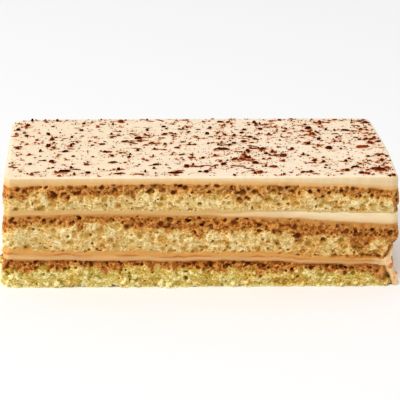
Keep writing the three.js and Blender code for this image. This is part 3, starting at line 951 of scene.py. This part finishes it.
def behind_rims(spots, rims):
    """Points a little behind each rim, the strips of quads that lead there, and the caps that close them.

    The rim of the flat underside is closed where it is.
    """
    behind = []
    strips = []
    caps = []
    first = len(spots)
    for rim in rims:
        if spots[rim, 2].max() < UNDERSIDE:
            caps.append(rim)
            continue
        index = np.round(spots[rim] / VOXEL).astype(int) - GRID_LOW
        behind.append(spots[rim] - CAP_DEPTH * slopes(plain_wall, index) * [1, 1, 0])
        cap = first + np.arange(len(rim))
        strips.append(np.column_stack([rim, np.roll(rim, -1), np.roll(cap, -1), cap]))
        caps.append(cap.tolist())
        first += len(rim)
    return behind, np.concatenate(strips), caps


def add_layer(name, piece_name, material, slot, **attributes):
    """Adds the piece of the wall that stands for a layer, closed inside."""
    used, spots, faces = renumbered(points, quads[face_layers == LAYERS.index(name)])
    rims = edge_loops(faces)
    behind, strips, caps = behind_rims(spots, rims)
    source = np.concatenate([np.arange(len(spots)), strips[:, 0]])
    kept = {key: values[used][source] for key, values in attributes.items()}
    closed = [np.concatenate([faces, strips])]
    add_piece(piece_name, np.vstack([spots, *behind]), closed, material, slot, name, caps, rims, **kept)


# Sponge sheets

# Crumb colours run from painted shade in the hollows to painted highlight on the crests
DRY_CRUMB = crumb_ramp((144, 94, 30), (191, 146, 63), (213, 179, 104), (229, 201, 136), (250, 233, 188))
GOLDEN_CRUMB = crumb_ramp((122, 68, 14), (174, 112, 34), (206, 149, 64), (224, 178, 98), (246, 214, 150))
TORN_CRUMB = crumb_ramp((118, 84, 12), (170, 139, 44), (200, 173, 83), (223, 202, 121), (249, 238, 184))
TORN_GOLDEN = crumb_ramp((112, 74, 8), (162, 122, 30), (194, 154, 58), (216, 180, 90), (242, 222, 156))
TOP_SEAM = srgb(236, 180, 110)
UPPER_SEAM = srgb(218, 174, 108)
MIDDLE_SEAM = srgb(204, 142, 72)
LOWER_SEAM = srgb(220, 158, 82)
BOTTOM_SEAM = srgb(186, 126, 62)
DARK_SEAM = srgb(126, 66, 18)
along_x = points[:, 0]
no_share = np.zeros(len(points))
dark_patches = smoothstep(-0.4, 0.4, noise(points, (2.2, 2.2, 9), 86))


def add_sponge(name, piece_name, material, soak, over, under):
    """Adds the piece of a sheet. Over and under are its shares of the colours along its seams."""
    shares = {"soak": soak, "cell_shade": cell_shade_share, "over": over, "under": under}
    # The tone attribute carries the crumb's painted highlight on crests and painted shade in hollows
    add_layer(name, piece_name, material, "sponge", tone=crumb_painted_shade_and_highlight, **shares)


add_sponge(
    "sponge_bottom", "bottom_sponge",
    sponge_material("bottom_crumb", TORN_CRUMB, TORN_GOLDEN, DARK_SEAM, DARK_SEAM),
    soak=soaked["sponge_bottom"](points),
    over=nearness("cream_lower", 0.9) * dark_patches,
    under=no_share,
)
add_sponge(
    "sponge_middle", "middle_sponge",
    sponge_material("middle_crumb", DRY_CRUMB, GOLDEN_CRUMB, MIDDLE_SEAM, LOWER_SEAM),
    soak=np.maximum(soaked["sponge_middle"](points), soaked_foot(points)),
    over=nearness("cream_upper", 0.7 + 1.7 * smoothstep(10, 45, along_x)),
    under=nearness("cream_lower", 0.9) * (1 - 0.6 * smoothstep(25, 50, along_x)),
)
add_sponge(
    "sponge_top", "top_sponge",
    sponge_material("top_crumb", DRY_CRUMB, GOLDEN_CRUMB, TOP_SEAM, UPPER_SEAM),
    soak=soaked["sponge_top"](points),
    over=nearness("cream_top", 0.9),
    under=nearness("cream_upper", 0.7),
)

# Cream fillings


def rise_between(below, above):
    """From 0 at the layer below to 1 at the one above, at all points of the wall."""
    foot = np.maximum(sample(layers[below], points), 0)
    head = np.maximum(sample(layers[above], points), 0)
    return foot / np.maximum(foot + head, 0.01)


def crumb_share():
    """How far soaked crumbs cover the smeared end: much of its top, and the stuck crumbs."""
    edge = points[:, 2] + 1.2 * noise(points, 3, 71) + 0.6 * noise(points, 1, 70)
    upper = smoothstep(9, 11, edge) * (0.4 + 0.35 * noise(points, 1.4, 74)) * (along_x > 55)
    upper = upper * smoothstep(-28.5, -26.5, points[:, 1])
    return np.maximum(sample(crumb_shades, points), upper)


below_middle = sample(layers["sponge_middle"], points) + 0.5 * noise(points, (4, 4, 9), 72)
line_breaks = smoothstep(-0.5, 0.3, noise(points, (6, 6, 20), 73))
wavy_line = np.exp(-((below_middle - 0.85) / 0.27) ** 2) * line_breaks
smear_share = smoothstep(52, 59, along_x + END_SKEW * (points[:, 1] + HALF_DEPTH))

add_layer(
    "cream_lower", "lower_filling",
    filling_material(
        "lower_cream",
        (srgb(230, 186, 128), srgb(210, 148, 74)), (srgb(228, 182, 124), srgb(208, 144, 70)),
        LOWER_SEAM, BOTTOM_SEAM,
    ),
    "filling", rise=rise_between("sponge_bottom", "sponge_middle"),
    over=nearness("sponge_middle", 0.6) * (1 - smear_share),
    under=nearness("sponge_bottom", 0.7) * (1 - smear_share),
    line=wavy_line * (1 - smear_share), smear=smear_share, crumb=crumb_share(),
)
add_layer(
    "cream_upper", "upper_filling",
    filling_material(
        "upper_cream",
        # On the right the head colour is pale cream with a painted highlight along the upper edge, where the
        # cream bulges
        (srgb(222, 174, 106), srgb(226, 182, 116)), (srgb(230, 190, 132), srgb(252, 232, 192)),
        UPPER_SEAM, MIDDLE_SEAM,
    ),
    "filling", rise=rise_between("sponge_middle", "sponge_top"),
    over=nearness("sponge_top", 0.5) * (1 - 0.9 * smoothstep(0, 35, along_x)),
    under=nearness("sponge_middle", 0.7), line=no_share, smear=no_share, crumb=no_share,
)

# Chocolate flakes

CHOCOLATE = chocolate_material()
LARGE_FLAKE = 1.2  # flakes of at least this size have finer outlines
BURIED = 0.25  # the lowest ring of a flake lies this deep in the cream
BURIED_SHARE = 0.9  # its width, as a share of the rim's
UPPER_SHARE = 0.66  # the upper ring's width, likewise
SMALL_FLAKES = 800
SHARDS = 80
DUST_PATCHES = 160
SPECKS = 2400
STAIN_REACH = 2.2  # a stain has faded at this many of its radii
# Map of cocoa stain and painted shadow on the cream top: size of its cells, its corner and its values
STAIN_STEP = 0.1
STAIN_CORNER = np.array([-66.0, -32.0])
stain_map = np.zeros((1320, 640), np.float32)


def merged_points(points, faces):
    """Points that lie in one place made one."""
    spots, renumber = np.unique(np.round(points, 3), axis=0, return_inverse=True)
    return spots, renumber.reshape(-1)[faces]


def flake_outlines():
    """Outline, seen from above, and top height of every flake in the solids."""
    points, faces = merged_points(*node_triangles("cream_top"))
    raised = points[:, 2] > TOP + 0.05
    faces = faces[raised[faces].all(axis=1)]
    label = bodies(len(points), faces)
    outlines = []
    for name in np.unique(label[faces]):
        spots = points[(label == name) & raised]
        middle = spots[:, :2].mean(axis=0)
        turn = np.arctan2(spots[:, 1] - middle[1], spots[:, 0] - middle[0])
        order = np.argsort(turn)
        outlines.append((spots[order, :2], spots[:, 2].max()))
    return outlines


def flake_mesh(outline, height, rng, fineness, tone):
    """An irregular flake: a buried ring, a rim, a smaller upper ring and a middle."""
    rim = np.array([
        start + (end - start) * step / fineness
        for start, end in zip(outline, np.roll(outline, -1, axis=0)) for step in range(fineness)
    ])
    middle = rim.mean(axis=0)
    size = np.linalg.norm(rim - middle, axis=1).mean()
    rim = rim + rng.normal(0, 0.1 * size, rim.shape)
    count = len(rim)
    rise = height - TOP
    rings = [
        np.column_stack([middle + (rim - middle) * BURIED_SHARE, np.full(count, TOP - BURIED)]),
        np.column_stack([rim, TOP + rise * rng.uniform(0.1, 0.5, count)]),
        np.column_stack([middle + (rim - middle) * UPPER_SHARE, TOP + rise * rng.uniform(0.7, 1.1, count)]),
    ]
    points = np.vstack([*rings, np.append(middle, TOP + rise)])
    tones = tone + rng.uniform(-0.15, 0.15, len(points))
    tones[:2 * count] += rng.uniform(0.1, 0.5, 2 * count)
    here = np.arange(count)
    ahead = np.roll(here, -1)
    belt = np.column_stack([here, ahead, ahead + count, here + count])
    quads = np.concatenate([belt, belt + count])
    caps = np.column_stack([here + 2 * count, ahead + 2 * count, np.full(count, 3 * count)])
    under = np.array([[0, k + 1, k] for k in range(1, count - 1)])
    return points, np.concatenate([caps, under]), quads, tones


def random_outline(rng, middle, size, slim, swing):
    """An irregular six-sided outline of a length, its width as a share of that, turned by a swing."""
    sides = 6
    turn = (np.arange(sides) + rng.uniform(-0.3, 0.3, sides)) / sides * 2 * np.pi
    reach = size / 2 * rng.uniform(0.7, 1.1, sides)
    flat = np.column_stack([reach * np.cos(turn), slim * reach * np.sin(turn)])
    turned = np.array([[math.cos(swing), -math.sin(swing)], [math.sin(swing), math.cos(swing)]])
    return middle + flat @ turned.T


def joined(parts):
    """Points, faces and tones of many small meshes as one."""
    points, triangles, quads, tones = zip(*parts)
    first = np.cumsum([0] + [len(spots) for spots in points[:-1]])
    faces = [np.vstack([rows + start for rows, start in zip(kind, first)]) for kind in (triangles, quads)]
    return np.vstack(points), faces, np.concatenate(tones)


def stain(middle, radius, strength, length=1.0):
    """Adds a soft spot, some times as long as it is wide, to the map of cocoa stain and painted shadow on
    the cream.
    """
    reach = STAIN_REACH * radius * length
    first = np.maximum(((middle - reach - STAIN_CORNER) / STAIN_STEP).astype(int), 0)
    last = np.minimum(((middle + reach - STAIN_CORNER) / STAIN_STEP).astype(int) + 1, stain_map.shape)
    x = (np.arange(first[0], last[0]) * STAIN_STEP + STAIN_CORNER[0] - middle[0])[:, None]
    y = (np.arange(first[1], last[1]) * STAIN_STEP + STAIN_CORNER[1] - middle[1])[None, :]
    spread = (x * x / length ** 2 + y * y) / radius ** 2
    stain_map[first[0]:last[0], first[1]:last[1]] += strength * np.exp(-spread)


def on_top(rng, count, margin):
    """Random places on the cream top, thicker in clusters, along the back and to the right."""
    lows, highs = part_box("cream_top")
    low = np.array(lows[:2]) / MM
    high = np.array(highs[:2]) / MM
    spots = low + (high - low) * rng.random((6 * count, 2))
    flat = np.column_stack([spots, np.full(len(spots), TOP - margin)]).astype(np.float32)
    inside = sample(plain_wall, flat) < -0.9 * margin
    crowd = 0.5 + 0.35 * noise(flat, 9, 90) + 0.35 * noise(flat, 3, 91) + 0.002 * spots[:, 0]
    crowd += 0.8 * smoothstep(24, 28, spots[:, 1])
    crowd += 0.4 * smoothstep(52, 58, np.abs(spots[:, 0]))
    return spots[inside & (rng.random(len(spots)) < crowd)][:count]


def add_flakes():
    """The flakes of the solids, then smaller flakes, shards and patches of cocoa dust among them."""
    rng = np.random.default_rng(SEED + 60)
    parts = []
    for outline, height in flake_outlines():
        middle = outline.mean(axis=0)
        size = np.linalg.norm(outline - middle, axis=1).mean()
        rise = (height - TOP) * rng.uniform(0.8, 1.2)
        tone = 0.45 * smoothstep(LARGE_FLAKE, 2.0, size) + 0.45 * rng.random() ** 2
        parts.append(flake_mesh(outline, TOP + rise, rng, 3 if size < LARGE_FLAKE else 6, tone))
        # A reddish spot round the flake: partly cocoa stain, partly painted shadow of the flake
        stain(middle, 0.5 + 0.7 * size, 0.65, 1.2)
    for middle in on_top(rng, SMALL_FLAKES, margin=0.2):
        size = 0.4 + 1.9 * rng.random() ** 3
        outline = random_outline(rng, middle, size, rng.uniform(0.4, 0.9), rng.uniform(0, np.pi))
        parts.append(flake_mesh(outline, TOP + 0.12 + 0.3 * rng.random(), rng, 1, 0.1 + 0.7 * rng.random()))
        # A reddish spot round the flake: partly cocoa stain, partly painted shadow of the flake
        stain(middle, 0.3 + 0.4 * size, 0.4, 1.3)
    for middle in on_top(rng, SHARDS, margin=2.2):
        size = rng.uniform(1.6, 4.2)
        outline = random_outline(rng, middle, size, rng.uniform(0.12, 0.25), rng.normal(0, 0.35))
        parts.append(flake_mesh(outline, TOP + 0.15 + 0.2 * rng.random(), rng, 2, 0.2 + 0.6 * rng.random()))
        # A reddish spot round the shard: partly cocoa stain, partly painted shadow of the shard
        stain(middle, 0.7, 0.5, 1.8)
    for middle in on_top(rng, DUST_PATCHES, margin=0.2):
        stain(middle, rng.uniform(0.3, 0.8), rng.uniform(0.3, 0.9), rng.uniform(1.2, 2.6))
    points, faces, tones = joined(parts)
    add_piece("flakes", points, faces, CHOCOLATE, "chocolate", tone=tones)


def add_specks():
    """Cocoa specks: small flattened eight-sided grains."""
    rng = np.random.default_rng(SEED + 61)
    middles = on_top(rng, SPECKS, margin=0.1)
    count = len(middles)
    sizes = 0.12 + 0.2 * rng.random(count) ** 2
    turn = rng.uniform(0, 2 * np.pi, count)
    points = np.empty((count, 6, 3))
    for corner in range(4):
        angle = turn + corner * np.pi / 2
        reach = sizes * (1.3 if corner % 2 else 0.8)
        points[:, corner, 0] = middles[:, 0] + reach * np.cos(angle)
        points[:, corner, 1] = middles[:, 1] + reach * np.sin(angle)
        points[:, corner, 2] = TOP + 0.02
    points[:, 4:, :2] = middles[:, None]
    points[:, 4, 2] = TOP + 0.05 + 0.5 * sizes
    points[:, 5, 2] = TOP - 0.12
    upper = [[k, (k + 1) % 4, 4] for k in range(4)]
    lower = [[(k + 1) % 4, k, 5] for k in range(4)]
    faces = (np.array(upper + lower)[None] + 6 * np.arange(count)[:, None, None]).reshape(-1, 3)
    for middle, size in zip(middles, sizes):
        stain(middle, 0.35 + size, 0.25)
    tones = np.repeat(rng.uniform(0.5, 1.0, count), 6)
    add_piece("cocoa", points.reshape(-1, 3), [faces], CHOCOLATE, "chocolate", tone=tones)


add_flakes()
add_specks()

# Cream top

# The cream top's map holds cocoa stain, and round the flakes painted shadow
stain_cells = ((points[:, :2] - STAIN_CORNER) / STAIN_STEP).astype(int)
upper_side = smoothstep(TOP - 0.6, TOP - 0.2, points[:, 2])
add_layer(
    "cream_top", "topping", topping_material(TOP_SEAM), "topping", under=nearness("sponge_top", 1.2),
    stain=np.clip(stain_map[stain_cells[:, 0], stain_cells[:, 1]], 0, 0.9) * upper_side,
)

# Studio

FLOOR_HALF = 4.0  # in metres
WORLD_STRENGTH = 0.5


def add_floor():
    corners = [(FLOOR_HALF * x, FLOOR_HALF * y, 0) for x, y in ((-1, -1), (1, -1), (1, 1), (-1, 1))]
    mesh = bpy.data.meshes.new("floor")
    mesh.from_pydata(corners, [], [(0, 1, 2, 3)])
    mesh.materials.append(Nodes("floor").finish(srgb(250, 250, 250), 0.9, 0.0))
    floor = new_object("floor", mesh)


def add_light(name, place, size, power):
    data = bpy.data.lights.new(name, "AREA")
    data.shape = "DISK"
    data.size = size
    data.energy = power
    lamp = new_object(name, data)
    lamp.location = place
    lamp.rotation_euler = (Vector((0, 0, 0.02)) - Vector(place)).to_track_quat("-Z", "Y").to_euler()


def add_camera():
    turn = math.radians(CAMERA_YAW)
    tilt = math.radians(CAMERA_ELEVATION)
    back = Vector((math.sin(turn) * math.cos(tilt), -math.cos(turn) * math.cos(tilt), math.sin(tilt)))
    data = bpy.data.cameras.new("camera")
    data.lens = CAMERA_LENS
    data.sensor_width = 36
    data.clip_start = 0.01
    camera = new_object("camera", data)
    camera.location = (Vector(CAMERA_TARGET) + back * CAMERA_DISTANCE) * MM
    camera.rotation_euler = (-back).to_track_quat("-Z", "Y").to_euler()
    bpy.context.scene.camera = camera


def add_world():
    world = bpy.data.worlds.new("studio")
    world.use_nodes = True
    background = world.node_tree.nodes["Background"]
    background.inputs["Color"].default_value = (1, 1, 1, 1)
    background.inputs["Strength"].default_value = WORLD_STRENGTH
    bpy.context.scene.world = world


add_floor()
add_light("key", place=(-0.4, -1.0, 2.3), size=1.4, power=34.5)
add_light("side", place=(-1.5, -0.12, 0.24), size=0.44, power=12)
add_camera()
add_world()
bpy.context.scene.view_settings.view_transform = "Standard"
